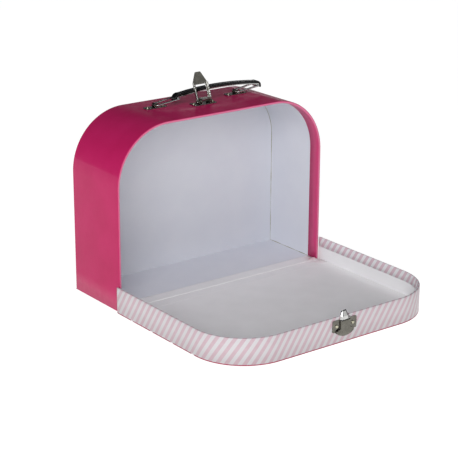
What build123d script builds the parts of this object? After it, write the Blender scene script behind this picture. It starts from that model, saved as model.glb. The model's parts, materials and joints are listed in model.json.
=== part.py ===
"""Small cardboard case: an arched box on its base, a hinged lid with a rim, a latch and a handle.

The case stands on its base with the lid open, flat on the same surface in front of it.
Frame: millimetres, +Z up, origin at the centre of the body's underside, -Y towards the lid.
"""

from build123d import *
import os
from math import cos, radians, sin, tan

os.makedirs("parts", exist_ok=True)

# ---- body -------------------------------------------------------------------------------------
width = 250.0
depth = 81.0
height = 182.0
corner_radius = 59.0
paper = 0.3
board = 2.0
turn_in_depth = 14.0
wall = 2 * paper + board
front = -depth / 2
back = depth / 2

# ---- hinge and lid ----------------------------------------------------------------------------
hinge_gap = 0.4
hinge_strip_width = 14.0
hinge_strip_thickness = 0.4
hinge_y = front - hinge_gap
hinge_z = paper + board + hinge_strip_thickness
fold_gap = 0.2
rim_height = 26.5
rim_board_thickness = 1.5
rim_thickness = 2 * paper + rim_board_thickness
rim_clearance = 0.9
rim_reach = rim_clearance + rim_thickness
rim_turn_in = 10.0
rim_overlap = 1.2
lid_corner_radius = 54.0
lid_width = width + 2 * rim_reach
lid_end = hinge_y - (height + rim_reach - hinge_z)

# ---- rivets, shared by every fitting ----------------------------------------------------------
fitting_plate = 0.7
shank_radius = 1.1
head_radius = 1.7
head_height = 1.0
head_round = 0.8
tail_height = 0.2
washer_radius = 3.2
washer_thickness = 0.4

# ---- latch on the body's top ------------------------------------------------------------------
latch_x = 1.5
latch_front = front + 31.0
latch_length = 27.0
latch_depth = 12.0
latch_corner = 2.0
latch_rivet_reach = 11.7
bridge_width = 11.4
bridge_depth = 8.0
bridge_height = 6.0
bridge_wall = 0.8
bridge_round = 1.2
running_clearance = 0.05
hasp_pin_radius = 0.8
hasp_pin_head_radius = 1.3
hasp_pin_head = 0.5
hasp_pin_play = 0.2
hasp_pivot_y = front + 35.5
hasp_pivot_z = height + 2.6
hasp_lean = 22.0
hasp_sheet = 0.8
hasp_width = 17.6
hasp_window_width = 12.0
hasp_window_end = 17.3
hasp_shoulder = 19.0
hasp_length = 30.0
hasp_tip_width = 6.4
hasp_tip_round = 1.5
hasp_flange = 2.0
hasp_flange_start = 3.0
hasp_knuckle_radius = 1.6

# ---- catch on the lid's rim -------------------------------------------------------------------
catch_x = 1.8
catch_length = 29.0
catch_corner = 1.5
catch_low = 11.8
catch_high = 23.6
catch_rivet_reach = 9.7
boss_width = 20.6
boss_neck_width = 11.6
boss_low = 7.0
boss_shelf = 10.8
boss_step = 13.0
boss_waist = 15.2
boss_high = 22.6
boss_rise = 2.5
boss_round = 0.6
slot_width = 9.8
slot_depth = 5.6
slot_gap = 1.3
tongue_sheet = 0.6
tongue_root = 17.2
tongue_shoulder = 22.9
tongue_bend = 26.0
tongue_tip = 31.6
tongue_lean = 22.0
tongue_root_width = 9.0
tongue_shoulder_width = 14.0
tongue_tip_width = 6.2

# ---- handle -----------------------------------------------------------------------------------
handle_x = 3.0
handle_y = front + 51.5
bracket_spacing = 99.0
bracket_length = 25.0
bracket_width = 9.0
bracket_corner = 3.0
bracket_rivet_reach = 8.8
bracket_pivot_z = height + 2.5
bracket_tube_radius = 2.2
bracket_tube_length = 5.4
wire_radius = 0.95
wire_bend = 1.3
link_length = 26.5
link_angle = 7.5
link_narrow = 8.4
link_wide = 11.0
grip_width = 7.6
grip_sheet = 0.9
grip_rise = 3.4
grip_tube_radius = 1.85
sleeve_thickness = 2.5
sleeve_shoulder = 47.0
sleeve_reach = 54.0
sleeve_droop = 2.6
sleeve_end_wall = 1.4
sleeve_tip_rise = 0.4
sleeve_bulge_inset = 2.0
sleeve_bulge_rise = 3.4


# ================================================================================================
# Shared shapes
# ================================================================================================


def arch_block(inset, bottom, y0, y1):
    """The body's outline, inset evenly from its outside, filled from y0 to y1."""
    top = height - inset
    with BuildPart() as block:
        with BuildSketch(Plane.XZ.offset(-y0)) as outline:
            with Locations((0, bottom)):
                Rectangle(width - 2 * inset, top - bottom, align=(Align.CENTER, Align.MIN))
            fillet(outline.vertices().sort_by(Axis.Y)[-2:], corner_radius - inset)
        extrude(amount=-(y1 - y0))
    return block.part


def lid_block(inset, hinge_edge, z0, z1):
    """The lid's outline, inset evenly from its outside, filled from z0 to z1."""
    far = lid_end + inset
    with BuildPart() as block:
        with BuildSketch(Plane.XY.offset(z0)) as outline:
            with Locations((0, far)):
                Rectangle(lid_width - 2 * inset, hinge_edge - far, align=(Align.CENTER, Align.MIN))
            fillet(outline.vertices().sort_by(Axis.Y)[:2], lid_corner_radius - inset)
        extrude(amount=z1 - z0)
    return block.part


def slab(slab_width, y0, y1, z0, z1):
    """A flat slab across the case, centred on X."""
    with BuildPart() as plate:
        with BuildSketch(Plane.XY.offset(z0)):
            with Locations((0, y0)):
                Rectangle(slab_width, y1 - y0, align=(Align.CENTER, Align.MIN))
        extrude(amount=z1 - z0)
    return plate.part


def discs(face, places, radius, low, high):
    """Round slugs on a face, one at each place, from low to high along its normal."""
    with BuildPart() as slugs:
        with BuildSketch(face.offset(low)):
            with Locations(*places):
                Circle(radius)
        extrude(amount=high - low)
    return slugs.part


def rivets(face, places, stack):
    """Round-headed rivets through a plate and a wall stack, clenched on washers behind it."""
    seat = fitting_plate
    clench = -stack - washer_thickness
    with BuildPart() as group:
        add(discs(face, places, head_radius, seat, seat + head_height))
        fillet(group.edges().group_by(Axis(face.origin, face.z_dir))[-1], head_round)
        add(discs(face, places, shank_radius, clench, seat))
        add(discs(face, places, head_radius, clench - tail_height, clench))
    return group.part


def washers(face, places, stack):
    """Flat washers behind a wall stack."""
    with BuildPart() as group:
        add(discs(face, places, washer_radius, -stack - washer_thickness, -stack))
        add(discs(face, places, shank_radius, -stack - washer_thickness, -stack), mode=Mode.SUBTRACT)
    return group.part


def tube(middle, outer, bore, length):
    """A tube centred on a plane's origin, along the plane's normal."""
    with BuildPart() as ring:
        with BuildSketch(middle.offset(-length / 2)):
            Circle(outer)
            Circle(bore, mode=Mode.SUBTRACT)
        extrude(amount=length)
    return ring.part


def finish(piece, name):
    """Label a finished sub-part and write it."""
    piece.part.label = name
    export_step(piece.part, "parts/" + name + ".step")


# ================================================================================================
# Rivet places
# ================================================================================================

sides = (-1, 1)
top_face = Plane.XY.offset(height)
rim_face = Plane(origin=(catch_x, lid_end, 0), x_dir=(1, 0, 0), z_dir=(0, -1, 0))

bracket_xs = [handle_x + side * bracket_spacing / 2 for side in sides]
bracket_rivet_places = [(x + side * bracket_rivet_reach, handle_y) for x in bracket_xs for side in sides]
latch_middle_y = latch_front + latch_depth / 2
latch_rivet_places = [(latch_x + side * latch_rivet_reach, latch_middle_y) for side in sides]
top_places = bracket_rivet_places + latch_rivet_places
catch_middle_z = (catch_low + catch_high) / 2
catch_rivet_places = [(side * catch_rivet_reach, catch_middle_z) for side in sides]

top_holes = discs(top_face, top_places, shank_radius, -wall, 0)
rim_holes = discs(rim_face, catch_rivet_places, shank_radius, -rim_thickness, 0)

# ================================================================================================
# Body: boards
# ================================================================================================

board_back = back - paper - board
board_top = paper + board
floor_top = board_top + paper
floor_width = width - 2 * (paper + board)
turn_in_end = front + turn_in_depth

with BuildPart() as wall_board:
    add(arch_block(paper, paper, front + paper, board_back))
    add(arch_block(paper + board, paper, front + paper, board_back), mode=Mode.SUBTRACT)
    add(top_holes, mode=Mode.SUBTRACT)
finish(wall_board, "wall_board")

with BuildPart() as back_board:
    add(arch_block(paper, paper, board_back, back - paper))
finish(back_board, "back_board")

with BuildPart() as floor_board:
    add(slab(floor_width, front, board_back, paper, board_top))
finish(floor_board, "floor_board")

# ================================================================================================
# Body: papers
# ================================================================================================

# The wrap covers the outside, folds over the front edge and is turned in along the inside.
with BuildPart() as wall_wrap:
    add(arch_block(0, paper, front, back - paper))
    add(arch_block(paper, paper, front + paper, back - paper), mode=Mode.SUBTRACT)
    add(arch_block(paper + board, paper, front + paper, turn_in_end))
    add(arch_block(wall, paper, front, turn_in_end), mode=Mode.SUBTRACT)
    add(slab(floor_width, front, turn_in_end, paper, hinge_z), mode=Mode.SUBTRACT)
    add(top_holes, mode=Mode.SUBTRACT)
finish(wall_wrap, "wall_wrap")

with BuildPart() as back_wrap:
    add(arch_block(0, paper, back - paper, back))
finish(back_wrap, "back_wrap")

with BuildPart() as base_wrap:
    add(slab(width, front, back, 0, paper))
finish(base_wrap, "base_wrap")

with BuildPart() as wall_lining:
    add(arch_block(paper + board, floor_top, turn_in_end, board_back - paper))
    add(arch_block(wall, floor_top, turn_in_end, board_back - paper), mode=Mode.SUBTRACT)
    add(top_holes, mode=Mode.SUBTRACT)
finish(wall_lining, "wall_lining")

with BuildPart() as back_lining:
    add(arch_block(paper + board, board_top, board_back - paper, board_back))
finish(back_lining, "back_lining")

with BuildPart() as floor_lining:
    add(slab(floor_width, turn_in_end, board_back - paper, board_top, floor_top))
finish(floor_lining, "floor_lining")

with BuildPart() as hinge_strip_body:
    add(slab(floor_width, front, front + hinge_strip_width, board_top, hinge_z))
finish(hinge_strip_body, "hinge_strip_body")

# ================================================================================================
# Lid: boards and papers
# ================================================================================================

panel_edge = hinge_y - fold_gap
rim_end = hinge_y + rim_overlap
rim_board_inset = paper + rim_board_thickness
rim_fold = rim_height - paper
turn_in_low = rim_height - rim_turn_in
lid_strip_end = hinge_y - hinge_strip_width

with BuildPart() as lid_board:
    add(lid_block(rim_board_inset, panel_edge, paper, board_top))
finish(lid_board, "lid_board")

with BuildPart() as rim_board:
    add(lid_block(paper, rim_end, paper, rim_fold))
    add(lid_block(rim_board_inset, rim_end, paper, rim_fold), mode=Mode.SUBTRACT)
    add(rim_holes, mode=Mode.SUBTRACT)
finish(rim_board, "rim_board")

with BuildPart() as lid_face_paper:
    add(lid_block(0, panel_edge, 0, paper))
finish(lid_face_paper, "lid_face_paper")

# The rim's wrap covers its outside, folds over the free edge and is turned in along the inside.
with BuildPart() as rim_wrap:
    add(lid_block(0, rim_end, paper, rim_height))
    add(lid_block(paper, rim_end, paper, rim_fold), mode=Mode.SUBTRACT)
    add(lid_block(rim_board_inset, rim_end, turn_in_low, rim_height))
    add(lid_block(rim_thickness, rim_end, paper, rim_height), mode=Mode.SUBTRACT)
    add(rim_holes, mode=Mode.SUBTRACT)
finish(rim_wrap, "rim_wrap")

with BuildPart() as rim_lining:
    add(lid_block(rim_board_inset, rim_end, board_top, turn_in_low))
    add(lid_block(rim_thickness, rim_end, board_top, turn_in_low), mode=Mode.SUBTRACT)
    add(rim_holes, mode=Mode.SUBTRACT)
finish(rim_lining, "rim_lining")

with BuildPart() as lid_lining:
    add(lid_block(rim_thickness, lid_strip_end, board_top, floor_top))
finish(lid_lining, "lid_lining")

with BuildPart() as hinge_strip_lid:
    add(slab(lid_width - 2 * rim_thickness, lid_strip_end, panel_edge, board_top, hinge_z))
finish(hinge_strip_lid, "hinge_strip_lid")

# ================================================================================================
# Catch on the lid's rim
# ================================================================================================

with BuildPart() as catch_plate:
    with BuildSketch(rim_face):
        with Locations((0, catch_middle_z)):
            RectangleRounded(catch_length, catch_high - catch_low, catch_corner)
    extrude(amount=fitting_plate)
    with BuildSketch(rim_face):
        with BuildLine():
            Polyline(
                (-boss_width / 2, boss_shelf),
                (-boss_width / 2, boss_step),
                (-boss_neck_width / 2, boss_waist),
                (-boss_neck_width / 2, boss_high),
                (boss_neck_width / 2, boss_high),
                (boss_neck_width / 2, boss_waist),
                (boss_width / 2, boss_step),
                (boss_width / 2, boss_shelf),
            )
            ThreePointArc((boss_width / 2, boss_shelf), (0, boss_low), (-boss_width / 2, boss_shelf))
        make_face()
    extrude(amount=boss_rise)
    fillet(catch_plate.edges().group_by(Axis.Y)[0], boss_round)
    with BuildSketch(rim_face.offset(fitting_plate)):
        with Locations((0, boss_high)):
            Rectangle(slot_width, slot_depth, align=(Align.CENTER, Align.MAX))
    extrude(amount=slot_gap, mode=Mode.SUBTRACT)
    add(discs(rim_face, catch_rivet_places, shank_radius, 0, fitting_plate), mode=Mode.SUBTRACT)
finish(catch_plate, "catch_plate")

# A spring-steel strip: its root sits in the slot, and its tapered tip leans in over the free edge.
tongue_back = lid_end - fitting_plate
tip_shift = (tongue_tip - tongue_bend) * tan(radians(tongue_lean))
with BuildPart() as catch_tongue:
    with BuildSketch(Plane.YZ.offset(catch_x - tongue_shoulder_width / 2)):
        with BuildLine():
            Polyline(
                (tongue_back, tongue_root),
                (tongue_back, tongue_bend),
                (tongue_back + tip_shift, tongue_tip),
                (tongue_back + tip_shift - tongue_sheet, tongue_tip),
                (tongue_back - tongue_sheet, tongue_bend),
                (tongue_back - tongue_sheet, tongue_root),
                close=True,
            )
        make_face()
    extrude(amount=tongue_shoulder_width)
    with BuildSketch(rim_face.offset(-2 * tip_shift)):
        with BuildLine():
            Polyline(
                (-tongue_root_width / 2, tongue_root),
                (-tongue_root_width / 2, tongue_shoulder),
                (-tongue_shoulder_width / 2, tongue_shoulder),
                (-tongue_tip_width / 2, tongue_tip),
                (tongue_tip_width / 2, tongue_tip),
                (tongue_shoulder_width / 2, tongue_shoulder),
                (tongue_root_width / 2, tongue_shoulder),
                (tongue_root_width / 2, tongue_root),
                close=True,
            )
        make_face()
    extrude(amount=4 * tip_shift, mode=Mode.INTERSECT)
finish(catch_tongue, "catch_tongue")

with BuildPart() as catch_rivets:
    add(rivets(rim_face, catch_rivet_places, rim_thickness))
finish(catch_rivets, "catch_rivets")

with BuildPart() as catch_washers:
    add(washers(rim_face, catch_rivet_places, rim_thickness))
finish(catch_washers, "catch_washers")

# ================================================================================================
# Latch on the body's top
# ================================================================================================

hasp_pivot = (latch_x, hasp_pivot_y, hasp_pivot_z)
hasp_axis = Plane(origin=hasp_pivot, x_dir=(0, 1, 0), z_dir=(1, 0, 0))

with BuildPart() as latch_base:
    with BuildSketch(top_face):
        with Locations((latch_x, latch_middle_y)):
            RectangleRounded(latch_length, latch_depth, latch_corner)
    extrude(amount=fitting_plate)
    with BuildSketch(Plane.XZ.offset(-latch_front)) as bridge_outline:
        with Locations((latch_x, height)):
            Rectangle(bridge_width, bridge_height, align=(Align.CENTER, Align.MIN))
        fillet(bridge_outline.vertices().sort_by(Axis.Y)[-2:], bridge_round)
    extrude(amount=-bridge_depth)
    with BuildSketch(Plane.XZ.offset(-latch_front)):
        with Locations((latch_x, height + fitting_plate)):
            Rectangle(
                bridge_width - 2 * bridge_wall,
                bridge_height - fitting_plate - bridge_wall,
                align=(Align.CENTER, Align.MIN),
            )
    extrude(amount=-bridge_depth, mode=Mode.SUBTRACT)
    with BuildSketch(hasp_axis):
        Circle(hasp_pin_radius)
    extrude(amount=bridge_width, both=True, mode=Mode.SUBTRACT)
    add(discs(top_face, latch_rivet_places, shank_radius, 0, fitting_plate), mode=Mode.SUBTRACT)
finish(latch_base, "latch_base")

pin_reach = hasp_width / 2 + hasp_pin_play
with BuildPart() as hasp_pin:
    with BuildSketch(hasp_axis):
        Circle(hasp_pin_radius)
    extrude(amount=pin_reach, both=True)
    for side in sides:
        with BuildSketch(hasp_axis.offset(side * pin_reach)):
            Circle(hasp_pin_head_radius)
        extrude(amount=side * hasp_pin_head)
finish(hasp_pin, "hasp_pin")

# Two arms straddle the bridge and roll round the pin; their outer edges are flanged to the front.
lean = radians(hasp_lean)
hasp_face = Plane(origin=hasp_pivot, x_dir=(1, 0, 0), z_dir=(0, -cos(lean), sin(lean)))
half_hasp = hasp_width / 2
half_window = hasp_window_width / 2
arm_width = half_hasp - half_window
with BuildPart() as hasp:
    with BuildSketch(hasp_face.offset(-hasp_sheet / 2)) as hasp_outline:
        with BuildLine():
            Polyline(
                (-half_hasp, 0),
                (-half_hasp, hasp_shoulder),
                (-hasp_tip_width / 2, hasp_length),
                (hasp_tip_width / 2, hasp_length),
                (half_hasp, hasp_shoulder),
                (half_hasp, 0),
                (half_window, 0),
                (half_window, hasp_window_end),
                (-half_window, hasp_window_end),
                (-half_window, 0),
                close=True,
            )
        make_face()
        fillet(hasp_outline.vertices().sort_by(Axis.Y)[-2:], hasp_tip_round)
    extrude(amount=hasp_sheet)
    with BuildSketch(hasp_face):
        with Locations(*[(side * (half_hasp - hasp_sheet / 2), hasp_flange_start) for side in sides]):
            Rectangle(hasp_sheet, hasp_shoulder - hasp_flange_start, align=(Align.CENTER, Align.MIN))
    extrude(amount=hasp_flange)
    for side in sides:
        with BuildSketch(hasp_axis.offset(side * half_window)):
            Circle(hasp_knuckle_radius)
        extrude(amount=side * arm_width)
    with BuildSketch(hasp_axis):
        Circle(hasp_pin_radius + running_clearance)
    extrude(amount=hasp_width, both=True, mode=Mode.SUBTRACT)
finish(hasp, "hasp")

with BuildPart() as latch_rivets:
    add(rivets(top_face, latch_rivet_places, wall))
finish(latch_rivets, "latch_rivets")

# ================================================================================================
# Handle
# ================================================================================================


def handle_axis(x, z):
    """A plane through the handle's middle, facing along its pivots."""
    return Plane(origin=(x, handle_y, z), x_dir=(1, 0, 0), z_dir=(0, -1, 0))


for name, bracket_x in zip(("bracket_left", "bracket_right"), bracket_xs):
    own_rivets = [place for place in bracket_rivet_places if abs(place[0] - bracket_x) < bracket_length]
    pivot = handle_axis(bracket_x, bracket_pivot_z)
    with BuildPart() as bracket:
        with BuildSketch(top_face):
            with Locations((bracket_x, handle_y)):
                RectangleRounded(bracket_length, bracket_width, bracket_corner)
        extrude(amount=fitting_plate)
        add(tube(pivot, bracket_tube_radius, wire_radius, bracket_tube_length))
        with BuildSketch(pivot):
            Circle(wire_radius + running_clearance)
        extrude(amount=bracket_width, both=True, mode=Mode.SUBTRACT)
        add(discs(top_face, own_rivets, shank_radius, 0, fitting_plate), mode=Mode.SUBTRACT)
    finish(bracket, name)

with BuildPart() as bracket_rivets:
    add(rivets(top_face, bracket_rivet_places, wall))
finish(bracket_rivets, "bracket_rivets")

with BuildPart() as top_washers:
    add(washers(top_face, top_places, wall))
finish(top_washers, "top_washers")

rise = radians(link_angle)
for name, bracket_x in zip(("link_left", "link_right"), bracket_xs):
    link_plane = Plane(
        origin=(bracket_x, handle_y, bracket_pivot_z),
        x_dir=(cos(rise), 0, sin(rise)),
        z_dir=(-sin(rise), 0, cos(rise)),
    )
    with BuildPart() as link:
        with BuildLine(link_plane) as loop:
            FilletPolyline(
                (0, -link_narrow / 2),
                (0, link_narrow / 2),
                (link_length, link_wide / 2),
                (link_length, -link_wide / 2),
                radius=wire_bend,
                close=True,
            )
        with BuildSketch(Plane(origin=loop.line @ 0, z_dir=loop.line % 0)):
            Circle(wire_radius)
        sweep(path=loop.line)
    finish(link, name)

grip_x = handle_x + link_length * cos(rise)
grip_z = bracket_pivot_z + link_length * sin(rise)
half_span = bracket_spacing / 2
strip_end = grip_z + grip_tube_radius
strip_crown = strip_end + grip_rise
grip_plane = handle_axis(grip_x, 0)

with BuildPart() as grip_strip:
    with BuildSketch(grip_plane.offset(-grip_width / 2)):
        with BuildLine():
            ThreePointArc((-half_span, strip_end), (0, strip_crown), (half_span, strip_end))
            Line((half_span, strip_end), (half_span, strip_end - grip_sheet))
            ThreePointArc(
                (half_span, strip_end - grip_sheet),
                (0, strip_crown - grip_sheet),
                (-half_span, strip_end - grip_sheet),
            )
            Line((-half_span, strip_end - grip_sheet), (-half_span, strip_end))
        make_face()
    extrude(amount=grip_width)
    for side in sides:
        grip_pivot = handle_axis(grip_x + side * half_span, grip_z)
        add(tube(grip_pivot, grip_tube_radius, wire_radius, grip_width))
    for side in sides:
        with BuildSketch(handle_axis(grip_x + side * half_span, grip_z)):
            Circle(wire_radius + running_clearance)
        extrude(amount=grip_width, both=True, mode=Mode.SUBTRACT)
finish(grip_strip, "grip_strip")

# The sleeve lies on the strip and hooks down past its rolled ends.
arch_radius = (half_span**2 + grip_rise**2) / (2 * grip_rise)
sleeve_radius = arch_radius + sleeve_thickness
arch_centre = strip_crown - arch_radius
shoulder_z = arch_centre + (sleeve_radius**2 - sleeve_shoulder**2) ** 0.5
sleeve_low = grip_z - sleeve_droop
sleeve_tip_z = grip_z + sleeve_tip_rise
inner_reach = sleeve_reach - sleeve_end_wall
bulge = (sleeve_reach - sleeve_bulge_inset, grip_z + sleeve_bulge_rise)
with BuildPart() as grip_sleeve:
    with BuildSketch(grip_plane.offset(-grip_width / 2)):
        with BuildLine():
            ThreePointArc((-half_span, strip_end), (0, strip_crown), (half_span, strip_end))
            Polyline(
                (half_span, strip_end),
                (half_span + grip_tube_radius, strip_end),
                (inner_reach, grip_z),
                (inner_reach, sleeve_low),
                (sleeve_reach, sleeve_low),
                (sleeve_reach, sleeve_tip_z),
            )
            ThreePointArc((sleeve_reach, sleeve_tip_z), bulge, (sleeve_shoulder, shoulder_z))
            ThreePointArc(
                (sleeve_shoulder, shoulder_z),
                (0, strip_crown + sleeve_thickness),
                (-sleeve_shoulder, shoulder_z),
            )
            ThreePointArc((-sleeve_shoulder, shoulder_z), (-bulge[0], bulge[1]), (-sleeve_reach, sleeve_tip_z))
            Polyline(
                (-sleeve_reach, sleeve_tip_z),
                (-sleeve_reach, sleeve_low),
                (-inner_reach, sleeve_low),
                (-inner_reach, grip_z),
                (-half_span - grip_tube_radius, strip_end),
                (-half_span, strip_end),
            )
        make_face()
    extrude(amount=grip_width)
finish(grip_sleeve, "grip_sleeve")
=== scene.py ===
import json
from math import cos, exp, pi, radians, sin

import bmesh
import bpy
from mathutils import Matrix, Vector, noise


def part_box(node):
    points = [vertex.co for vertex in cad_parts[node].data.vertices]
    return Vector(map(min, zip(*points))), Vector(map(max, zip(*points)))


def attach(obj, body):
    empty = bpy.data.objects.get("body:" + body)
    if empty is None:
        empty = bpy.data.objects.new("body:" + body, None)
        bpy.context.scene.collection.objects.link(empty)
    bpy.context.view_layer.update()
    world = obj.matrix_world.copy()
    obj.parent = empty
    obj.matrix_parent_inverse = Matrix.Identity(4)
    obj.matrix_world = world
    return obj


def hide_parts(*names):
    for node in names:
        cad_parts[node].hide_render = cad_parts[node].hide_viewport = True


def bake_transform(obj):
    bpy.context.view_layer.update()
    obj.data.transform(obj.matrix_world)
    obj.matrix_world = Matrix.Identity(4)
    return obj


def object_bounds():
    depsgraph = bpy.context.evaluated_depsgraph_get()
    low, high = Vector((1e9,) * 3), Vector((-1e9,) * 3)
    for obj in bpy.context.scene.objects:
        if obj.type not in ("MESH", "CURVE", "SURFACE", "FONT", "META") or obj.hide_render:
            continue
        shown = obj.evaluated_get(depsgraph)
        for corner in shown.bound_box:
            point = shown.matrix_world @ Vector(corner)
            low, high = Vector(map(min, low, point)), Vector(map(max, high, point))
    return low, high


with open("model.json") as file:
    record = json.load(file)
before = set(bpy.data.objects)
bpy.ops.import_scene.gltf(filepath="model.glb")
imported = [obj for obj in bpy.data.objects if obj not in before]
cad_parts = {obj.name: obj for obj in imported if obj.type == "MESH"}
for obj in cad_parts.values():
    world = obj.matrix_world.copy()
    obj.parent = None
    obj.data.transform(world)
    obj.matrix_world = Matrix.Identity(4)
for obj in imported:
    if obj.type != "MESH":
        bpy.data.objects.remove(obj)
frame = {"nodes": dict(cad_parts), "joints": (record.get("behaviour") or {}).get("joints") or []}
size_of_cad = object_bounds()

# ------------------------------------------------------------------------------------------------
# Boards. Five pieces of grey cardboard, cut from 1.5 and 2 mm sheet: the bent wall, the back and
# the floor of the case, and the panel and the bent rim of the lid. Paper covers nearly all of them.
# ------------------------------------------------------------------------------------------------
mm = 0.001
colour_mix = {"data_type": "RGBA"}


def linear(colour):
    """An sRGB hex colour as the linear RGBA that a socket takes."""
    shares = [int(colour[i : i + 2], 16) / 255 for i in (1, 3, 5)]
    return [s / 12.92 if s <= 0.04045 else ((s + 0.055) / 1.055) ** 2.4 for s in shares] + [1.0]


def add_node(tree, kind, settings=(), inputs=()):
    """A shader node with its own settings, and each input set to a value or linked to an output."""
    node = tree.nodes.new("ShaderNode" + kind)
    for name, value in dict(settings).items():
        setattr(node, name, value)
    for key, value in dict(inputs).items():
        if isinstance(value, bpy.types.NodeSocket):
            tree.links.new(value, node.inputs[key])
        else:
            node.inputs[key].default_value = value
    return node


def new_material(name):
    """An empty material and its node tree."""
    material = bpy.data.materials.new(name)
    material.use_nodes = True
    material.node_tree.nodes.clear()
    return material, material.node_tree


def speckle(tree, place, grain, low, high, detail):
    """Noise whose patches are about one grain across, spread between two values."""
    made = add_node(tree, "TexNoise", (), {"Vector": place, "Scale": 1 / grain, "Detail": detail})
    limits = {"Value": made.outputs[0], "From Min": 0.3, "From Max": 0.7, "To Min": low, "To Max": high}
    return add_node(tree, "MapRange", (), limits).outputs[0]


def dress(material, *nodes):
    """Gives the CAD nodes that are shown as they are their material."""
    for name in nodes:
        frame["nodes"][name].material_slots[0].material = material


# Recycled cardboard: dull, grey-brown and flecked, with pulp fibres about a millimetre long.
def greyboard():
    material, tree = new_material("greyboard")
    place = add_node(tree, "TexCoord").outputs["Object"]
    fleck = speckle(tree, place, 1.0 * mm, 0.0, 1.0, 6.0)
    shades = {0: fleck, 6: linear("#8a8378"), 7: linear("#a9a294")}
    pulp = add_node(tree, "Mix", colour_mix, shades).outputs[2]
    tooth = add_node(tree, "Bump", (), {"Height": fleck, "Distance": 0.08 * mm}).outputs[0]
    finish = {"Base Color": pulp, "Roughness": 0.9, "Specular IOR Level": 0.25, "Normal": tooth}
    surface = add_node(tree, "BsdfPrincipled", (), finish)
    add_node(tree, "OutputMaterial", (), {"Surface": surface.outputs[0]})
    return material


dress(greyboard(), "wall_board", "back_board", "floor_board", "lid_board", "rim_board")

# ------------------------------------------------------------------------------------------------
# Case wrap. One strip of pink printed paper with a gloss film, glued round the outside of the
# wall. It folds over the front edge and is turned in 14 mm inside, and turns onto the back.
# ------------------------------------------------------------------------------------------------
paper = 0.3 * mm
case_corner = 59.0 * mm
fold_reach = 0.95 * mm
lining_step = 0.1 * mm
back_turn = 9.0 * mm
back_sink = 0.15 * mm
wrap_low, wrap_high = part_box("wall_wrap")
case_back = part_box("back_wrap")[1].y
turn_in_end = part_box("wall_lining")[0].y
wall = wrap_high.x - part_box("floor_board")[1].x + paper


def arched_path(half, foot, top, corner, bend_steps=28, side_steps=6):
    """Stations up one side, over and down the other: across, up, the outward direction, and the run."""
    stations = [(-half, foot + (top - corner - foot) * i / side_steps, -1.0, 0.0) for i in range(side_steps)]
    for side in (-1, 1):
        for i in range(bend_steps + 1):
            turn = pi / 2 * i / bend_steps
            lean = turn if side < 0 else pi / 2 - turn
            out = (side * cos(lean), sin(lean))
            stations.append((side * (half - corner) + corner * out[0], top - corner + corner * out[1], *out))
    stations += [(half, foot + (top - corner - foot) * (1 - i / side_steps), 1.0, 0.0)
                 for i in range(1, side_steps + 1)]
    run, path = 0.0, []
    for i, station in enumerate(stations):
        if i:
            run += (Vector(station[:2]) - Vector(stations[i - 1][:2])).length
        path.append((*station, run))
    return path


def folded(points, reach, steps=6):
    """A profile with its corners rounded over this reach, as (out, along, rise from the start)."""
    line = [Vector(points[0])]
    for before, corner, after in zip(points, points[1:], points[2:]):
        corner = Vector(corner)
        start = corner + (Vector(before) - corner).normalized() * reach
        end = corner + (Vector(after) - corner).normalized() * reach
        for i in range(steps + 1):
            t = i / steps
            line.append(start * (1 - t) ** 2 + corner * 2 * t * (1 - t) + end * t**2)
    line.append(Vector(points[-1]))
    rise, profile = 0.0, []
    for i, point in enumerate(line):
        rise += (point - line[i - 1]).length if i else 0.0
        profile.append((point.x, point.y, rise))
    return profile


def new_piece(name, shape, smooth=True):
    """A piece of the object from a finished bmesh."""
    mesh = bpy.data.meshes.new(name)
    shape.to_mesh(mesh)
    shape.free()
    if smooth:
        mesh.shade_smooth()
    piece = bpy.data.objects.new(name, mesh)
    bpy.context.scene.collection.objects.link(piece)
    return piece


def thicken(piece, thickness=paper):
    """Gives an open sheet its thickness, behind the side that it faces."""
    sheet = piece.modifiers.new("paper_thickness", "SOLIDIFY")
    sheet.thickness = thickness
    sheet.offset = -1.0
    return piece


def skin(name, rows, thickness=paper):
    """A sheet through rows of points (x, y, z, run, rise). Run and rise, in metres, are its UV map."""
    shape = bmesh.new()
    flat = shape.loops.layers.uv.new("flat_sheet")
    grid = [[shape.verts.new(point[:3]) for point in row] for row in rows]
    for i in range(len(rows) - 1):
        for j in range(len(rows[0]) - 1):
            cell = ((i, j), (i + 1, j), (i + 1, j + 1), (i, j + 1))
            face = shape.faces.new([grid[a][b] for a, b in cell])
            for loop, (a, b) in zip(face.loops, cell):
                loop[flat].uv = rows[a][b][3:]
    return thicken(new_piece(name, shape), thickness)


def fit(piece, body, slot, material, *nodes):
    """Gives a piece its material, the body it rides on and the CAD nodes it stands for. The slot is not used.
    """
    piece.data.materials.append(material)
    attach(piece, body)
    if nodes:
        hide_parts(*nodes)


def case_skin(name, profile):
    """A sheet bent round the case's arch, its profile given as out from the wall and along Y."""
    path = arched_path(wrap_high.x, wrap_low.z, wrap_high.z, case_corner)
    rows = [[(a + na * out, along, b + nb * out, run, rise) for out, along, rise in profile]
            for a, b, na, nb, run in path]
    return skin(name, rows)


wrap_profile = folded(
    [
        (lining_step - wall, turn_in_end),
        (lining_step - wall, wrap_low.y),
        (0.0, wrap_low.y),
        (0.0, case_back - back_sink),
        (-back_turn, case_back - back_sink),
    ],
    fold_reach,
)
front_edge = Vector((-wall / 2, wrap_low.y))
fold_rise = min(wrap_profile, key=lambda point: (Vector(point[:2]) - front_edge).length)[2]
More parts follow.
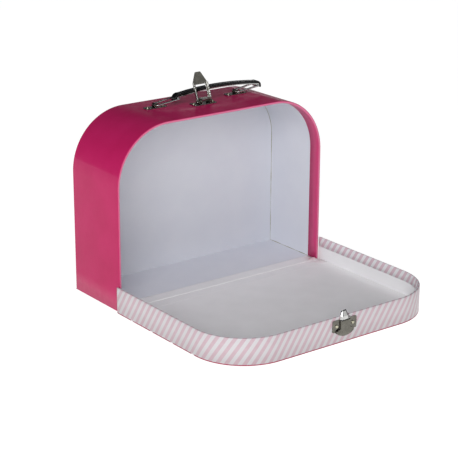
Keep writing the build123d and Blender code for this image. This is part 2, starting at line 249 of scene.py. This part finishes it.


# Coated art paper under gloss film: strong colour and a soft sheen that shows the board's slight
# waviness. A pale painted highlight runs along the front fold, and painted light brightens the turned-in
# band.
def gloss_pink_paper(name, ink, deep_ink, lit_turn_in, fold_highlight):
    material, tree = new_material(name)
    place = add_node(tree, "TexCoord").outputs["Object"]
    cloud = speckle(tree, place, 30.0 * mm, 0.0, 1.0, 4.0)
    outside = add_node(tree, "Mix", colour_mix, {0: cloud, 6: linear(deep_ink), 7: linear(ink)}).outputs[2]
    flat = add_node(tree, "UVMap", {"uv_map": "flat_sheet"}).outputs[0]
    rise = add_node(tree, "SeparateXYZ", (), {0: flat}).outputs[1]
    # Where the wrap is turned in, a brighter pink stands in for light: painted light.
    start = {"Value": rise, "From Min": 0.05 * mm, "From Max": 0.2 * mm}
    past_start = add_node(tree, "MapRange", (), start).outputs[0]
    end = {"Value": rise, "From Min": fold_rise - 0.8 * mm, "From Max": fold_rise - 1.6 * mm}
    before_fold = add_node(tree, "MapRange", (), end).outputs[0]
    inside = add_node(tree, "Math", {"operation": "MULTIPLY"}, {0: past_start, 1: before_fold}).outputs[0]
    ground = add_node(tree, "Mix", colour_mix, {0: inside, 6: outside, 7: linear(lit_turn_in)}).outputs[2]
    # A pale band along the front fold stands in for the fold's gleam: a painted highlight.
    away = add_node(tree, "Math", {"operation": "SUBTRACT"}, {0: rise, 1: fold_rise}).outputs[0]
    reach = add_node(tree, "Math", {"operation": "ABSOLUTE"}, {0: away}).outputs[0]
    limits = {"Value": reach, "From Min": 0.5 * mm, "From Max": 1.4 * mm, "To Min": 0.75, "To Max": 0.0}
    highlight_share = add_node(tree, "MapRange", (), limits).outputs[0]
    colour = add_node(tree, "Mix", colour_mix, {0: highlight_share, 6: ground, 7: linear(fold_highlight)}).outputs[2]
    wave = speckle(tree, place, 9.0 * mm, 0.0, 1.0, 5.0)
    relief = add_node(tree, "Bump", (), {"Height": wave, "Distance": 0.06 * mm}).outputs[0]
    finish = {"Base Color": colour, "Roughness": speckle(tree, place, 6.0 * mm, 0.3, 0.42, 5.0), "IOR": 1.15,
              "Coat Weight": 0.22, "Coat Roughness": 0.04, "Normal": relief}
    surface = add_node(tree, "BsdfPrincipled", (), finish)
    add_node(tree, "OutputMaterial", (), {"Surface": surface.outputs[0]})
    return material


# The last two colours are painted light: the brighter turned-in pink and the pale painted highlight on the
# fold.
pink = gloss_pink_paper("gloss_pink_paper", "#c52463", "#bd1f5b", "#db497d", "#ee8aac")
fit(case_skin("case_wrap", wrap_profile), "case", "pink_paper", pink, "wall_wrap")

# ------------------------------------------------------------------------------------------------
# Back and base sheets. The same pink paper, cut 2.5 mm short of the back's outline and glued over
# the turned edge of the wrap, and a plain rectangle under the floor.
# ------------------------------------------------------------------------------------------------
back_margin = 2.5 * mm


def back_sheet():
    """The arch's outline as one flat face, facing backwards."""
    outline = arched_path(wrap_high.x - back_margin, wrap_low.z,
                          wrap_high.z - back_margin, case_corner - back_margin)
    shape = bmesh.new()
    shape.faces.new([shape.verts.new((a, case_back, b)) for a, b, *_ in outline])
    return thicken(new_piece("back_sheet", shape, smooth=False))


fit(back_sheet(), "case", "pink_paper", pink, "back_wrap")
dress(pink, "base_wrap")

# ------------------------------------------------------------------------------------------------
# Linings. White uncoated paper glued flat inside the case and the lid, butted at the corners.
# The lid's sheets are painted whiter and warmer than the case's, as painted light; the paper is the same.
# ------------------------------------------------------------------------------------------------


# Wood-free white paper: matt, with a fine tooth and slow ripples from the glue; its tint is painted light.
def white_lining_paper(name, light, shade):
    material, tree = new_material(name)
    place = add_node(tree, "TexCoord").outputs["Object"]
    ripple = speckle(tree, place, 22.0 * mm, 0.0, 1.0, 2.0)
    white = add_node(tree, "Mix", colour_mix, {0: ripple, 6: linear(shade), 7: linear(light)}).outputs[2]
    tooth = speckle(tree, place, 1.6 * mm, 0.0, 0.35, 4.0)
    height = add_node(tree, "Math", {"operation": "ADD"}, {0: ripple, 1: tooth}).outputs[0]
    relief = add_node(tree, "Bump", (), {"Height": height, "Distance": 0.02 * mm}).outputs[0]
    finish = {"Base Color": white, "Roughness": 0.62, "Specular IOR Level": 0.35, "Normal": relief}
    surface = add_node(tree, "BsdfPrincipled", (), finish)
    add_node(tree, "OutputMaterial", (), {"Surface": surface.outputs[0]})
    return material


# Lit and shaded copies of one paper: the case's is painted darker and faintly cool as painted shade, the
# lid's whiter as painted light.
lining = white_lining_paper("white_lining_paper", "#e2e4ea", "#dfe1e8")
dress(lining, "wall_lining", "back_lining", "floor_lining")
lid_white = white_lining_paper("white_lid_paper", "#f5f4f4", "#f1f0f0")
dress(lid_white, "rim_lining", "lid_lining")

# ------------------------------------------------------------------------------------------------
# Board seam. Where the back meets the wall, and the wall the floor, on the right, the linings
# leave a hair of raw board showing, filled with dried glue.
# ------------------------------------------------------------------------------------------------
seam_width = 0.5 * mm
seam_step = 3.0 * mm
seam_bend = 0.75
bead_rate = 90.0
thinnest_bead = 0.35


def board_seam():
    """A thin bead of uneven width up the right back corner and along the floor's right edge."""
    inner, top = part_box("wall_lining")[1].x - paper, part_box("wall_lining")[1].z - paper
    floor_top, back_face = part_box("floor_lining")[1].z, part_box("back_lining")[0].y
    corner = case_corner - wall
    arch = [(a, back_face, b) for a, b, *_ in arched_path(inner, floor_top, top, corner, 28, 40)]
    rising = [Vector(point) for point in arch if point[0] > inner - seam_bend * corner]
    count = int((back_face - turn_in_end) / seam_step)
    floor_run = [Vector((inner, back_face - seam_step * i, floor_top)) for i in range(1, count + 1)]
    points = rising + floor_run
    line = bpy.data.curves.new("board_seam", "CURVE")
    line.dimensions = "3D"
    line.bevel_depth = seam_width
    line.bevel_resolution = 2
    spline = line.splines.new("POLY")
    spline.points.add(len(points) - 1)
    for place, point in zip(points, spline.points):
        point.co = (*place, 1.0)
        point.radius = thinnest_bead + (1 - thinnest_bead) * (0.5 + noise.noise(place * bead_rate))
    piece = bpy.data.objects.new("board_seam", line)
    bpy.context.scene.collection.objects.link(piece)
    return piece


# Raw board edge soaked with glue: olive-grey and dull.
def raw_edge():
    material, tree = new_material("glued_board_edge")
    place = add_node(tree, "TexCoord").outputs["Object"]
    fleck = speckle(tree, place, 2.5 * mm, 0.0, 1.0, 4.0)
    shades = {0: fleck, 6: linear("#85836c"), 7: linear("#b3b190")}
    glue = add_node(tree, "Mix", colour_mix, shades).outputs[2]
    surface = add_node(tree, "BsdfPrincipled", (), {"Base Color": glue, "Roughness": 0.7})
    add_node(tree, "OutputMaterial", (), {"Surface": surface.outputs[0]})
    return material


fit(board_seam(), "case", "greyboard", raw_edge())

# ------------------------------------------------------------------------------------------------
# Torn paper. A crumpled scrap of the wrap's edge, white on its torn side, that stands up in the
# front right corner of the case, where the wrap, the lining and the hinge strip meet.
# ------------------------------------------------------------------------------------------------
scrap_length = 9.0 * mm
scrap_width = 4.0 * mm
scrap_rise = 1.5 * mm
scrap_gap = 0.1 * mm
scrap_inset = 0.4 * mm
scrap_sheet = 0.15 * mm
scrap_columns, scrap_rows = 12, 6


def torn_scrap():
    """A small sheet with a ragged outline, crumpled more towards its free side."""
    inner, floor_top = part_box("wall_lining")[1].x - paper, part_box("floor_lining")[1].z
    front = wrap_low.y + scrap_inset
    rows = []
    for i in range(scrap_columns + 1):
        along = i / scrap_columns
        ragged = 0.65 + 0.5 * noise.noise(Vector((along * 5.0, 2.0, 0.0)))
        row = []
        for j in range(scrap_rows + 1):
            across = j / scrap_rows
            crumple = noise.noise(Vector((along * 6.0, across * 4.0, 5.0)))
            rise = scrap_rise * (1 - across) * (0.55 + crumple) + paper
            x = inner - scrap_length * along
            y = front + scrap_width * ragged * (1 - across)
            row.append((x, y, floor_top + max(rise, scrap_gap), along, across))
        rows.append(row)
    return skin("torn_scrap", rows, scrap_sheet)


# Torn paper: its white core shows, with crumbs of the pink face left on it.
def torn_paper():
    material, tree = new_material("torn_paper")
    place = add_node(tree, "TexCoord").outputs["Object"]
    crumbs = speckle(tree, place, 2.5 * mm, 0.0, 1.0, 4.0)
    shades = {0: crumbs, 6: linear("#f3efee"), 7: linear("#dba3b2")}
    core = add_node(tree, "Mix", colour_mix, shades).outputs[2]
    surface = add_node(tree, "BsdfPrincipled", (), {"Base Color": core, "Roughness": 0.8})
    add_node(tree, "OutputMaterial", (), {"Surface": surface.outputs[0]})
    return material


fit(torn_scrap(), "case", "pink_paper", torn_paper())

# ------------------------------------------------------------------------------------------------
# Hinge strip. One strip of white paper glued over the joint between the case's floor and the
# lid's panel. It is the hinge; here it lies flat, with a crease that the folding has raised.
# ------------------------------------------------------------------------------------------------
crease_height = 0.6 * mm
crease_width = 0.5 * mm
crease_reach = 2.6 * crease_width
crease_drift = 0.06 * mm
crease_rows = 10
lid_sink = 0.12 * mm
lid_side_start = 0.3 * mm
lid_side_step = 0.5 * mm
row_step = 1.5 * mm
drift_rate, uneven_rate = 60.0, 45.0
strip_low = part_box("hinge_strip_lid")[0]
strip_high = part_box("hinge_strip_body")[1]
hinge = next(joint for joint in frame["joints"] if joint["name"] == "lid_hinge")
hinge_point = Vector(hinge["pos_m"])


def strip_rows():
    """Rows across the strip from the case to the lid, close together at the crease."""
    near = [crease_reach * i / crease_rows for i in range(-crease_rows, crease_rows + 1)]
    far = [i * row_step for i in range(1, 9)]
    offsets = [strip_high.y - hinge_point.y] + [near[-1] + f for f in reversed(far)]
    offsets += list(reversed(near)) + [near[0] - f for f in far] + [strip_low.y - hinge_point.y]
    columns = 60
    rows = []
    for offset in offsets:
        share = min(1.0, max(0.0, (-offset - lid_side_start) / lid_side_step))
        half = strip_high.x + (-strip_low.x - strip_high.x) * share
        row = []
        for i in range(columns + 1):
            x = half * (2 * i / columns - 1)
            drift = crease_drift * noise.noise(Vector((x * drift_rate, 0.0, 0.0)))
            ridge = crease_height * exp(-(((offset - drift) / crease_width) ** 2))
            ridge *= 0.9 + 0.2 * noise.noise(Vector((x * uneven_rate, 7.0, 0.0)))
            z = strip_high.z + ridge - lid_sink * share
            row.append((x, hinge_point.y + offset, z, x, offset))
        rows.append(row)
    return rows


# The same white paper, a little yellower, with a grey-pink smear where the paper has torn.
def hinge_paper():
    material, tree = new_material("creased_white_paper")
    place = add_node(tree, "TexCoord").outputs["Object"]
    ripple = speckle(tree, place, 12.0 * mm, 0.0, 1.0, 3.0)
    shades = {0: ripple, 6: linear("#efeeee"), 7: linear("#f3f2f2")}
    ground = add_node(tree, "Mix", colour_mix, shades).outputs[2]
    corner = {0: place, 1: (strip_high.x, hinge_point.y, strip_high.z)}
    reach = add_node(tree, "VectorMath", {"operation": "DISTANCE"}, corner).outputs["Value"]
    limits = {"Value": reach, "From Min": 4 * mm, "From Max": 16 * mm, "To Min": 0.5, "To Max": 0.0}
    patch = add_node(tree, "MapRange", (), limits).outputs[0]
    broken = speckle(tree, place, 4.0 * mm, 0.0, 1.0, 4.0)
    smear = add_node(tree, "Math", {"operation": "MULTIPLY"}, {0: patch, 1: broken}).outputs[0]
    colour = add_node(tree, "Mix", colour_mix, {0: smear, 6: ground, 7: linear("#b5707e")}).outputs[2]
    relief = add_node(tree, "Bump", (), {"Height": ripple, "Distance": 0.02 * mm}).outputs[0]
    finish = {"Base Color": colour, "Roughness": 0.6, "Normal": relief}
    surface = add_node(tree, "BsdfPrincipled", (), finish)
    add_node(tree, "OutputMaterial", (), {"Surface": surface.outputs[0]})
    return material


hinge_strip = skin("hinge_strip", strip_rows())
hinge_strip.data.materials.append(hinge_paper())
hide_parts("hinge_strip_body", "hinge_strip_lid")
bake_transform(hinge_strip)

# ------------------------------------------------------------------------------------------------
# Lid face. Deep pink gloss paper with white spots over the lid's outer panel, its edge turned
# 1.1 mm up the rim, where it shows as a thin line.
# ------------------------------------------------------------------------------------------------
face_turn = 1.1 * mm
face_round = 0.35 * mm
face_border = 1.2 * mm
lid_corner = 54.0 * mm
face_low, face_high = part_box("lid_face_paper")
rim_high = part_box("rim_wrap")[1]


def lid_path(inset, hinge_end):
    """The lid's outline from its left hinge end, round the far side, to its right hinge end."""
    return arched_path(face_high.x - inset, -hinge_end, -face_low.y - inset, lid_corner - inset)


def lid_face():
    """A flat face with a narrow edge turned up round the rim, left open along the hinge."""
    shape = bmesh.new()
    bend = face_round * 0.3
    levels = [(face_border, 0.0), (face_round, 0.0), (bend, bend), (0.0, face_round), (0.0, face_turn)]
    outline = lid_path(0.0, face_high.y)
    rings = [[shape.verts.new((a - na * inset, -(b - nb * inset), z)) for a, b, na, nb, _ in outline]
             for inset, z in levels]
    for lower, upper in zip(rings, rings[1:]):
        for i in range(len(lower) - 1):
            shape.faces.new((lower[i], lower[i + 1], upper[i + 1], upper[i]))
    middle = shape.faces.new(rings[0])
    bmesh.ops.recalc_face_normals(shape, faces=shape.faces)
    if middle.normal.z > 0:
        bmesh.ops.reverse_faces(shape, faces=shape.faces)
    return thicken(new_piece("lid_face", shape, smooth=False))


# Gloss paper printed deep pink, with 9 mm white spots in staggered rows 33 mm apart.
def spotted_paper():
    material, tree = new_material("spotted_gloss_paper")
    place = add_node(tree, "TexCoord").outputs["Object"]
    parts = add_node(tree, "SeparateXYZ", (), {0: place}).outputs
    pitch, spot, edge = 33.0 * mm, 4.5 * mm, 0.1 * mm
    nearest = []
    for shift in (0.0, 0.5):
        legs = []
        for axis in (parts[0], parts[1]):
            scaled = {0: axis, 1: 1 / pitch, 2: shift}
            cell = add_node(tree, "Math", {"operation": "MULTIPLY_ADD"}, scaled).outputs[0]
            share = add_node(tree, "Math", {"operation": "FRACT"}, {0: cell}).outputs[0]
            leg = add_node(tree, "Math", {"operation": "SUBTRACT"}, {0: share, 1: 0.5}).outputs[0]
            legs.append(leg)
        corner = add_node(tree, "CombineXYZ", (), {0: legs[0], 1: legs[1]}).outputs[0]
        length = add_node(tree, "VectorMath", {"operation": "LENGTH"}, {0: corner}).outputs["Value"]
        nearest.append(length)
    reach = add_node(tree, "Math", {"operation": "MINIMUM"}, {0: nearest[0], 1: nearest[1]}).outputs[0]
    limits = {"Value": reach, "From Min": (spot - edge) / pitch, "From Max": (spot + edge) / pitch}
    printed = add_node(tree, "MapRange", (), limits).outputs[0]
    cloud = speckle(tree, place, 30.0 * mm, 0.0, 1.0, 4.0)
    inks = {0: cloud, 6: linear("#961c42"), 7: linear("#a52148")}
    ground = add_node(tree, "Mix", colour_mix, inks).outputs[2]
    colour = add_node(tree, "Mix", colour_mix, {0: printed, 6: linear("#e6e2e2"), 7: ground}).outputs[2]
    wave = speckle(tree, place, 9.0 * mm, 0.0, 1.0, 5.0)
    relief = add_node(tree, "Bump", (), {"Height": wave, "Distance": 0.06 * mm}).outputs[0]
    finish = {"Base Color": colour, "Roughness": 0.4, "IOR": 1.3, "Normal": relief}
    surface = add_node(tree, "BsdfPrincipled", (), finish)
    add_node(tree, "OutputMaterial", (), {"Surface": surface.outputs[0]})
    return material


fit(lid_face(), "lid", "lid_face_paper", spotted_paper(), "lid_face_paper")

# ------------------------------------------------------------------------------------------------
# Rim wrap. Paper printed with slanting pink stripes, glued round the outside of the lid's rim,
# folded over its free edge and round its two ends, and turned in 10 mm inside.
# ------------------------------------------------------------------------------------------------
rim_reach = 0.8 * mm
rim_thickness = 2.1 * mm
rim_turn_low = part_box("rim_lining")[1].z
stripe_pitch = 8.15 * mm
stripe_lean = 0.66
stripe_share = 0.5
rim_profile = folded(
    [
        (0.0, face_turn),
        (0.0, rim_high.z),
        (lining_step - rim_thickness, rim_high.z),
        (lining_step - rim_thickness, rim_turn_low),
    ],
    rim_reach,
)


def rim_rows():
    """The profile carried round the lid, then drawn across each end of the rim board."""
    path = lid_path(0.0, rim_high.y - rim_reach)
    rows = [[(a + na * out, -(b + nb * out), along, run, rise) for out, along, rise in rim_profile]
            for a, b, na, nb, run in path]
    end_steps = 8
    for end, way in ((0, -1), (-1, 1)):
        a, b, na, nb, run = path[end]
        for i in range(1, end_steps + 1):
            drawn = i / end_steps
            row = []
            for out, along, rise in rim_profile:
                inward = (lining_step - rim_thickness - out) * drawn
                turned = min(1.0, max(-inward / rim_reach, drawn))
                reach = rim_reach * (1 - (1 - turned) ** 2) ** 0.5
                row.append((a + na * (out + inward), reach - b, along, run + way * (reach - inward), rise))
            if end == 0:
                rows.insert(0, row)
            else:
                rows.append(row)
    return rows


inner_edge = Vector((lining_step - rim_thickness, rim_high.z))
inside_rise = min(rim_profile, key=lambda point: (Vector(point[:2]) - inner_edge).length)[2]


# Offset-printed paper: matt white with crisp pale pink stripes 8 mm apart along the rim, greyed
# outside by painted shade and brightened where it is turned in by painted light.
def striped_paper():
    material, tree = new_material("striped_paper")
    flat = add_node(tree, "UVMap", {"uv_map": "flat_sheet"}).outputs[0]
    parts = add_node(tree, "SeparateXYZ", (), {0: flat}).outputs
    lean = {0: parts[1], 1: -stripe_lean, 2: parts[0]}
    slanted = add_node(tree, "Math", {"operation": "MULTIPLY_ADD"}, lean).outputs[0]
    turns = add_node(tree, "Math", {"operation": "MULTIPLY"}, {0: slanted, 1: 1 / stripe_pitch}).outputs[0]
    share = add_node(tree, "Math", {"operation": "PINGPONG"}, {0: turns, 1: 0.5}).outputs[0]
    edge = 0.12 * mm / stripe_pitch
    limits = {"Value": share, "From Min": stripe_share / 2 - edge, "From Max": stripe_share / 2 + edge}
    white_share = add_node(tree, "MapRange", (), limits).outputs[0]
    # The outside colours are darker as painted shade, the turned-in colours lighter as painted light.
    turned = {"Value": parts[1], "From Min": inside_rise - 1.0 * mm, "From Max": inside_rise}
    inside = add_node(tree, "MapRange", (), turned).outputs[0]
    place = add_node(tree, "TexCoord").outputs["Object"]
    uneven = speckle(tree, place, 5.0 * mm, 0.0, 1.0, 4.0)
    inks = {0: uneven, 6: linear("#c9aeb6"), 7: linear("#cfb5bd")}
    shaded_outside_ink = add_node(tree, "Mix", colour_mix, inks).outputs[2]
    ink = add_node(tree, "Mix", colour_mix, {0: inside, 6: shaded_outside_ink, 7: linear("#e3c8d0")}).outputs[2]
    whites = {0: inside, 6: linear("#d3d0d2"), 7: linear("#f2f0f1")}
    white = add_node(tree, "Mix", colour_mix, whites).outputs[2]
    colour = add_node(tree, "Mix", colour_mix, {0: white_share, 6: ink, 7: white}).outputs[2]
    wave = speckle(tree, place, 7.0 * mm, 0.0, 1.0, 5.0)
    relief = add_node(tree, "Bump", (), {"Height": wave, "Distance": 0.05 * mm}).outputs[0]
    finish = {"Base Color": colour, "Roughness": 0.45, "Specular IOR Level": 0.4, "Normal": relief}
    surface = add_node(tree, "BsdfPrincipled", (), finish)
    add_node(tree, "OutputMaterial", (), {"Surface": surface.outputs[0]})
    return material


fit(skin("rim_stripes", rim_rows()), "lid", "striped_paper", striped_paper(), "rim_wrap")

# ------------------------------------------------------------------------------------------------
# Steel fittings. Pressed from thin strip, barrelled so that their edges are softly round, and
# nickel plated. The shapes below take the plates' outlines and round their edges.
# ------------------------------------------------------------------------------------------------
weld_reach = 0.002 * mm
same_plane = radians(1.0)
sharp_fold = radians(32)
shading_break = radians(50)
head_round = 0.4 * mm


def softened(node, name, edge, steps=3):
    """A copy of a CAD node's shape with its sharp edges rounded and marked for a painted highlight, as a new
    piece.
    """
    shape = bmesh.new()
    edge_highlight_map = shape.loops.layers.uv.new("edge_highlight")
    shape.from_mesh(frame["nodes"][node].data)
    bmesh.ops.remove_doubles(shape, verts=shape.verts, dist=weld_reach)
    bmesh.ops.dissolve_limit(shape, angle_limit=same_plane, verts=shape.verts, edges=shape.edges)
    sharp = [e for e in shape.edges if e.is_manifold and e.calc_face_angle(0.0) > sharp_fold]
    rounded = bmesh.ops.bevel(shape, geom=sharp, offset=edge, segments=steps, profile=0.5, affect="EDGES",
                              clamp_overlap=True)
    for face in rounded["faces"]:
        for loop in face.loops:
            loop[edge_highlight_map].uv = (1.0, 0.0)
    piece = new_piece(name, shape)
    piece.data.set_sharp_from_angle(angle=shading_break)
    even = piece.modifiers.new("even_shading", "WEIGHTED_NORMAL")
    even.keep_sharp = True
    return piece


# Nickel plate: a warm grey mirror, dulled in patches by handling, with a near-white painted highlight on its
# rounded edges.
def nickel_plate(name, dark, light):
    material, tree = new_material(name)
    place = add_node(tree, "TexCoord").outputs["Object"]
    tarnish = speckle(tree, place, 5.0 * mm, 0.0, 1.0, 2.0)
    dull = add_node(tree, "Mix", colour_mix, {0: tarnish, 6: linear(dark), 7: linear(light)}).outputs[2]
    edge_highlight_map = add_node(tree, "UVMap", {"uv_map": "edge_highlight"}).outputs[0]
    highlight_share = add_node(tree, "SeparateXYZ", (), {0: edge_highlight_map}).outputs[0]
    colour = add_node(tree, "Mix", colour_mix, {0: highlight_share, 6: dull, 7: linear("#f4f4f0")}).outputs[2]
    haze = speckle(tree, place, 3.0 * mm, 0.2, 0.3, 2.0)
    surface = add_node(tree, "BsdfPrincipled", (), {"Base Color": colour, "Roughness": haze, "Metallic": 1.0})
    add_node(tree, "OutputMaterial", (), {"Surface": surface.outputs[0]})
    return material


# Bright steel: the spring strip and the wires are brighter and smoother than the plates.
def bright_steel():
    material, tree = new_material("bright_steel")
    place = add_node(tree, "TexCoord").outputs["Object"]
    drawn = speckle(tree, place, 1.5 * mm, 0.0, 1.0, 4.0)
    shades = {0: drawn, 6: linear("#c6c6c4"), 7: linear("#d4d4d2")}
    colour = add_node(tree, "Mix", colour_mix, shades).outputs[2]
    haze = speckle(tree, place, 3.0 * mm, 0.1, 0.2, 4.0)
    surface = add_node(tree, "BsdfPrincipled", (), {"Base Color": colour, "Roughness": haze, "Metallic": 1.0})
    add_node(tree, "OutputMaterial", (), {"Surface": surface.outputs[0]})
    return material


nickel = nickel_plate("nickel_plate", "#6a6861", "#7c7a72")
# The rivet heads' lighter, warmer nickel is a painted highlight.
highlighted_nickel = nickel_plate("highlighted_nickel", "#b3b09a", "#c8c5ae")
steel = bright_steel()
dress(nickel, "catch_washers", "top_washers", "hasp_pin")
dress(steel, "link_left", "link_right")

# ------------------------------------------------------------------------------------------------
# Catch. A plate with a raised half-round boss, riveted to the far side of the rim, and a sprung
# tongue that stands in the boss's slot and leans in over the rim's free edge.
# ------------------------------------------------------------------------------------------------
fit(softened("catch_plate", "catch_front", 0.18 * mm), "lid", "nickel_plate", nickel, "catch_plate")
heads = softened("catch_rivets", "catch_rivet_heads", head_round, 4)
fit(heads, "lid", "nickel_plate", highlighted_nickel, "catch_rivets")
tongue_sheet = 0.3 * mm
tongue_lip = 0.6 * mm
crease_angle = radians(8)


def sprung_tongue():
    """A strip creased lengthways twice, so that it has a front facet and two sides that slope back."""
    low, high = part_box("catch_tongue")
    middle, half = (low.x + high.x) / 2, (high.x - low.x) / 2
    # Each level: height, half widths of the strip and of its front facet, how far the sides slope
    # back in metres, and how far the strip leans in. All but the slope are shares of the whole.
    levels = (
        (0.0, 0.6, 0.34, 0.0, 0.0),
        (0.4, 0.6, 0.34, 0.0, 0.0),
        (0.44, 0.86, 0.34, 0.6 * mm, 0.0),
        (0.61, 0.72, 0.32, 1.0 * mm, 0.0),
        (0.88, 0.5, 0.24, 1.5 * mm, 0.69),
        (1.0, 0.3, 0.14, 1.0 * mm, 1.0),
    )
    rows = []
    for rise, edge, facet, back, lean in levels:
        front = low.y + (high.y - tongue_lip - low.y) * lean
        z = low.z + (high.z - low.z) * rise
        row = []
        for across, depth in ((-edge, back), (-facet, 0.0), (facet, 0.0), (edge, back)):
            row.append((middle + half * across, min(front + depth, high.y - tongue_sheet), z, across, rise))
        rows.append(row)
    return rows


tongue = skin("catch_spring", sprung_tongue(), tongue_sheet)
tongue.data.set_sharp_from_angle(angle=crease_angle)
fit(tongue, "lid", "spring_steel", steel, "catch_tongue")

# ------------------------------------------------------------------------------------------------
# Latch. A riveted base plate with a bridge pressed up out of it, and a hasp with a square window
# whose two rolled ends turn on a pin through the bridge.
# ------------------------------------------------------------------------------------------------
fit(softened("latch_base", "latch_bridge", 0.27 * mm), "case", "nickel_plate", nickel, "latch_base")
heads = softened("latch_rivets", "latch_rivet_heads", head_round, 4)
fit(heads, "case", "nickel_plate", highlighted_nickel, "latch_rivets")
fit(softened("hasp", "latch_hasp", 0.15 * mm), "hasp", "nickel_plate", nickel, "hasp")

# ------------------------------------------------------------------------------------------------
# Handle. Two riveted brackets, each with a rolled eye; a wire link in each eye; and between the
# links a bowed steel strip under a moulded sleeve that hooks down over the strip's rolled ends.
# ------------------------------------------------------------------------------------------------
for side in ("left", "right"):
    bracket = softened("bracket_" + side, "eye_plate_" + side, 0.22 * mm)
    fit(bracket, "case", "nickel_plate", nickel, "bracket_" + side)
heads = softened("bracket_rivets", "bracket_rivet_heads", head_round, 4)
fit(heads, "case", "nickel_plate", highlighted_nickel, "bracket_rivets")
fit(softened("grip_strip", "bowed_strip", 0.12 * mm), "grip", "spring_steel", steel, "grip_strip")


# Injection-moulded polypropylene: black, with a low even sheen and faint flow marks.
def black_polypropylene():
    material, tree = new_material("black_polypropylene")
    place = add_node(tree, "TexCoord").outputs["Object"]
    flow = speckle(tree, place, 10.0 * mm, 0.0, 1.0, 3.0)
    shades = {0: flow, 6: linear("#070708"), 7: linear("#0b0b0c")}
    colour = add_node(tree, "Mix", colour_mix, shades).outputs[2]
    sheen = speckle(tree, place, 12.0 * mm, 0.25, 0.32, 1.0)
    surface = add_node(tree, "BsdfPrincipled", (), {"Base Color": colour, "Roughness": sheen, "IOR": 1.4})
    add_node(tree, "OutputMaterial", (), {"Surface": surface.outputs[0]})
    return material


cover = softened("grip_sleeve", "grip_cover", 0.9 * mm, 5)
fit(cover, "grip", "black_plastic", black_polypropylene(), "grip_sleeve")

# ------------------------------------------------------------------------------------------------
# Studio. A pale glowing floor and a dim room. The main soft light stands in front on the left, with
# weaker ones at the front right, on the left, overhead and low behind on the right.
# ------------------------------------------------------------------------------------------------
floor_half = 6.0


def pale_floor():
    """A flat floor that glows faintly, as a white table lit from all round does."""
    shape = bmesh.new()
    corners = ((-1, -1), (1, -1), (1, 1), (-1, 1))
    shape.faces.new([shape.verts.new((a * floor_half, b * floor_half, size_of_cad[0].z)) for a, b in corners])
    piece = new_piece("floor", shape, smooth=False)
    material, tree = new_material("pale_floor")
    finish = {"Base Color": linear("#707070"), "Roughness": 0.9, "Specular IOR Level": 0.0,
              "Emission Color": linear("#ffffff"), "Emission Strength": 0.98}
    surface = add_node(tree, "BsdfPrincipled", (), finish)
    add_node(tree, "OutputMaterial", (), {"Surface": surface.outputs[0]})
    piece.data.materials.append(material)


def soft_light(name, place, aim, width, height, power, colour):
    """A rectangular soft light at a place, facing a point."""
    lamp = bpy.data.lights.new(name, "AREA")
    lamp.shape = "RECTANGLE"
    lamp.size = width
    lamp.size_y = height
    lamp.energy = power
    lamp.color = linear(colour)[:3]
    holder = bpy.data.objects.new(name, lamp)
    holder.location = place
    holder.rotation_euler = (Vector(aim) - Vector(place)).to_track_quat("-Z", "Y").to_euler()
    bpy.context.scene.collection.objects.link(holder)


pale_floor()
case_middle = (0.0, -0.06, 0.08)
soft_light("front_light", (-1.2, -1.4, 0.95), case_middle, 1.2, 0.9, 21.0, "#fbfcff")
soft_light("front_right_light", (0.95, -1.35, 0.6), case_middle, 1.0, 0.8, 1.8, "#ffffff")
soft_light("left_light", (-1.9, -0.3, 0.55), case_middle, 1.0, 0.8, 5.0, "#ffffff")
soft_light("overhead_light", (0.0, -0.5, 1.9), case_middle, 1.0, 1.0, 4.4, "#ffffff")
soft_light("back_light", (1.5, 1.9, 0.45), case_middle, 1.2, 0.12, 0.9, "#ffffff")
room = bpy.data.worlds.new("dim_room")
room.use_nodes = True
room.node_tree.nodes["Background"].inputs["Color"].default_value = linear("#d8dce6")
room.node_tree.nodes["Background"].inputs["Strength"].default_value = 0.07
bpy.context.scene.world = room
bpy.context.scene.view_settings.view_transform = "Standard"

# The camera stands in front and to the left, a little above the case, and looks down at it.
view_turn, view_drop, view_roll = radians(-37.0), radians(-18.67), radians(0.23)
view_place = Vector((-0.85496, -1.18365, 0.54289))
lens_length = 118.25
camera = bpy.data.objects.new("camera", bpy.data.cameras.new("camera"))
camera.data.lens = lens_length
camera.data.sensor_width = 36.0
aim = Matrix.Rotation(view_turn, 4, "Z") @ Matrix.Rotation(pi / 2 + view_drop, 4, "X")
aim = aim @ Matrix.Rotation(view_roll, 4, "Z")
camera.matrix_world = Matrix.Translation(view_place) @ aim
bpy.context.scene.collection.objects.link(camera)
bpy.context.scene.camera = camera
